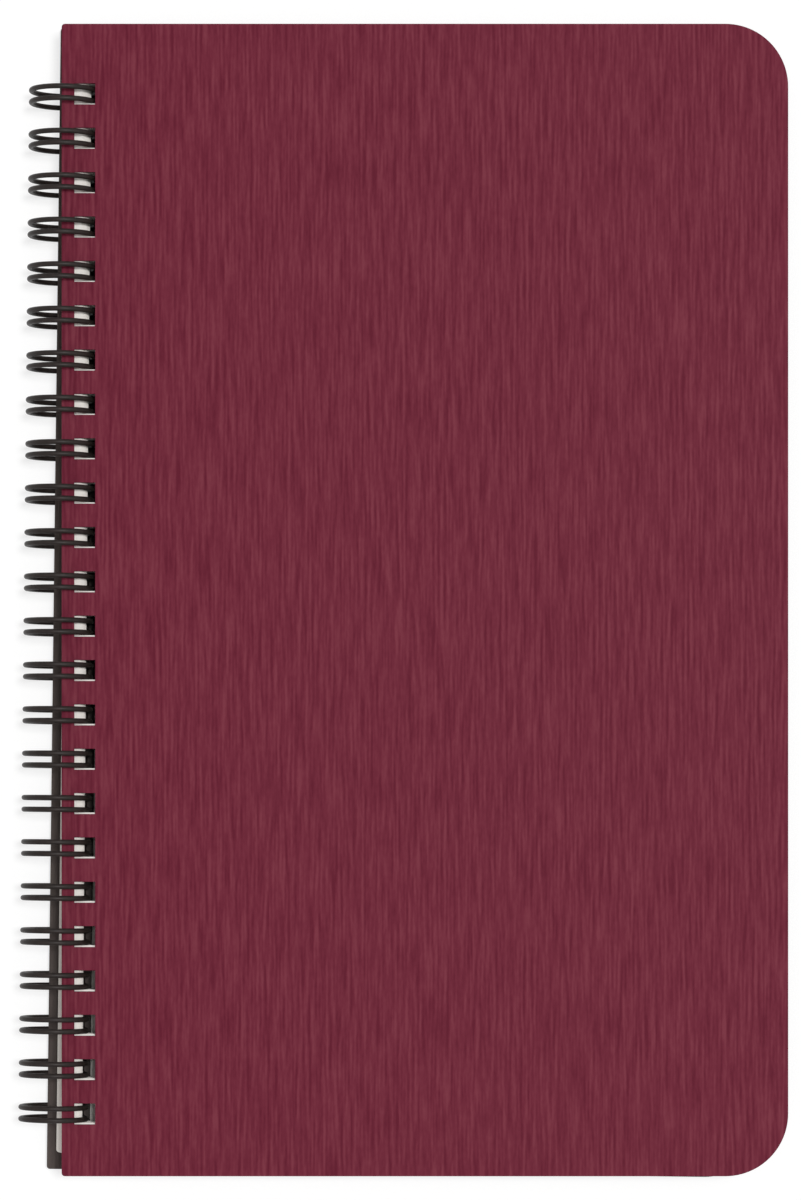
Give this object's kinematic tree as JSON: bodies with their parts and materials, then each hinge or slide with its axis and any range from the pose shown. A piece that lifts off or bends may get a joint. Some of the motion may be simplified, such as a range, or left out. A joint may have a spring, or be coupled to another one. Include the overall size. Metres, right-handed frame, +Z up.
{
  "type": "spiral notebook",
  "caption": "Closed notebook with round-cornered plastic covers, a block of pages and a black twin-loop wire along the spine, on which the covers swing open.",
  "frame": {"origin": "middle of the closed notebook's plan, at the level its wire loops rest on", "axes": "+Y along the spine to the head, +X from the spine to the fore edge, +Z up out of the front cover"},
  "size_m": [0.1472, 0.2213, 0.0135],
  "materials": {
    "coated_wire": "satin",
    "pages": "matte",
    "front_sheet": "matte",
    "back_sheet": "matte"
  },
  "bodies": {
    "binding": {"wire_binding": "coated_wire", "page_block": "pages"},
    "front": {"front_cover": "front_sheet"},
    "back": {"back_cover": "back_sheet"}
  },
  "joints": [
    {"name": "front_cover_hinge", "type": "hinge", "parent": "binding", "child": "front", "pos_m": [-0.06638, -0.00148, 0.00675], "axis": [0, -1, 0], "range_deg": [0, 180]},
    {"name": "back_cover_hinge", "type": "hinge", "parent": "binding", "child": "back", "pos_m": [-0.06638, -0.00148, 0.00675], "axis": [0, 1, 0], "range_deg": [0, 180]}
  ]
}
